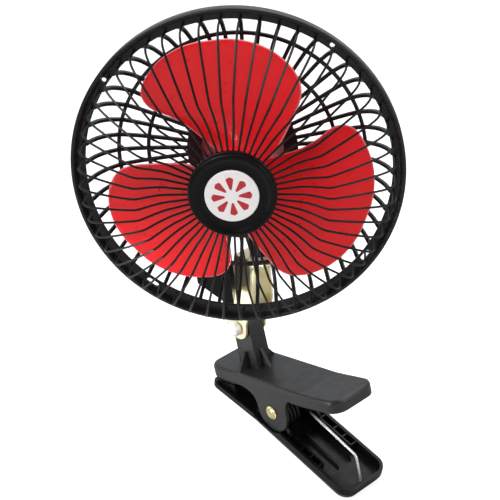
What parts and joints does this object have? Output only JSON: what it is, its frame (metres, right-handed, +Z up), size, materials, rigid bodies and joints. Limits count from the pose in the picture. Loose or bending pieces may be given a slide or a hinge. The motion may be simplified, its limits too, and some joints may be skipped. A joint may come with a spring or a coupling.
{
  "type": "clip fan",
  "caption": "Caged desk fan head with a wide-bladed propeller on a tilting, swinging sheet-metal yoke, held by a spring clip.",
  "frame": {"origin": "on the closed jaw line of the clip, between the two jaw pads and 15.5 mm in from the tips", "axes": "+Z up from the jaws through the upper grip, +Y out of the clip's mouth, -Y towards the handles, +X along the clip pivot"},
  "size_m": [0.1669, 0.2016, 0.3555],
  "materials": {
    "grip_plastic": "fine satin",
    "guard_plastic": "gloss",
    "cap_plastic": "satin",
    "red_plastic": "gloss",
    "badge_white": "gloss",
    "black_rubber": "matte",
    "zinc_gold": "yellow passivated",
    "rivet_brass": "polished",
    "nickel": "polished",
    "spring_steel": "bright drawn",
    "motor_steel": "plated",
    "magnet": "sintered",
    "bronze": "sintered",
    "nylon": "natural"
  },
  "bodies": {
    "clip_base": {"upper_grip": "grip_plastic", "upper_jaw_pad": "black_rubber", "pivot_pin": "rivet_brass", "pin_cap": "rivet_brass", "clip_spring": "spring_steel"},
    "lower_lever": {"lower_grip": "grip_plastic", "lower_jaw_pad": "black_rubber"},
    "tilt_yoke": {"tilt_yoke": "zinc_gold", "tilt_bolt": "nickel", "left_tilt_washer": "nylon", "right_tilt_washer": "nylon", "pivot_bush": "nylon"},
    "thumb_nut": {"thumb_nut": "nickel"},
    "fan_head": {"pivot_shaft": "nickel", "pivot_clip": "nickel", "rear_guard": "guard_plastic", "front_guard": "guard_plastic", "hub_cap": "cap_plastic", "hub_badge": "badge_white", "guard_screw_1": "nickel", "guard_screw_2": "nickel", "guard_screw_3": "nickel", "motor_magnet_1": "magnet", "motor_magnet_2": "magnet", "motor_can": "motor_steel", "front_bearing": "bronze", "rear_bearing": "bronze", "motor_mount": "motor_steel", "motor_shell": "cap_plastic", "gear_housing": "cap_plastic", "switch_box": "cap_plastic", "switch_bezel": "guard_plastic", "cord_gland": "black_rubber"},
    "rotor": {"propeller": "red_plastic", "motor_shaft": "nickel", "motor_armature": "motor_steel"},
    "swing_knob": {"swing_knob": "cap_plastic"},
    "rocker_switch": {"rocker_switch": "red_plastic"}
  },
  "joints": [
    {"name": "grip_squeeze", "type": "hinge", "parent": "clip_base", "child": "lower_lever", "pos_m": [0, -0.0519, -0.0117], "axis": [1, 0, 0], "range_deg": [-34, 0], "stiffness_Nm_per_rad": 1.2, "springref_deg": 40.11, "deforming": ["clip_spring"]},
    {"name": "tilt", "type": "hinge", "parent": "clip_base", "child": "tilt_yoke", "pos_m": [0, -0.019, 0.046], "axis": [1, 0, 0], "range_deg": [-35, 20]},
    {"name": "thumb_nut_turn", "type": "hinge", "parent": "tilt_yoke", "child": "thumb_nut", "pos_m": [-0.0142, -0.019, 0.046], "axis": [1, 0, 0], "range_deg": [0, 360]},
    {"name": "swing", "type": "hinge", "parent": "tilt_yoke", "child": "fan_head", "pos_m": [0, -0.05225, 0.10457], "axis": [0, -0.1149, 0.9934], "range_deg": [0, 92]},
    {"name": "rotor_spin", "type": "hinge", "parent": "fan_head", "child": "rotor", "pos_m": [-0.04309, -0.10361, 0.1852], "axis": [-0.7181, -0.6913, -0.08], "continuous": true},
    {"name": "swing_knob_pull", "type": "slide", "parent": "fan_head", "child": "swing_knob", "axis": [0, -0.1149, 0.9934], "range_m": [0, 0.004]},
    {"name": "switch_rock", "type": "hinge", "parent": "fan_head", "child": "rocker_switch", "pos_m": [-0.01831, -0.02538, 0.1117], "axis": [0.6959, -0.7134, -0.0825], "range_deg": [-16, 0]}
  ]
}
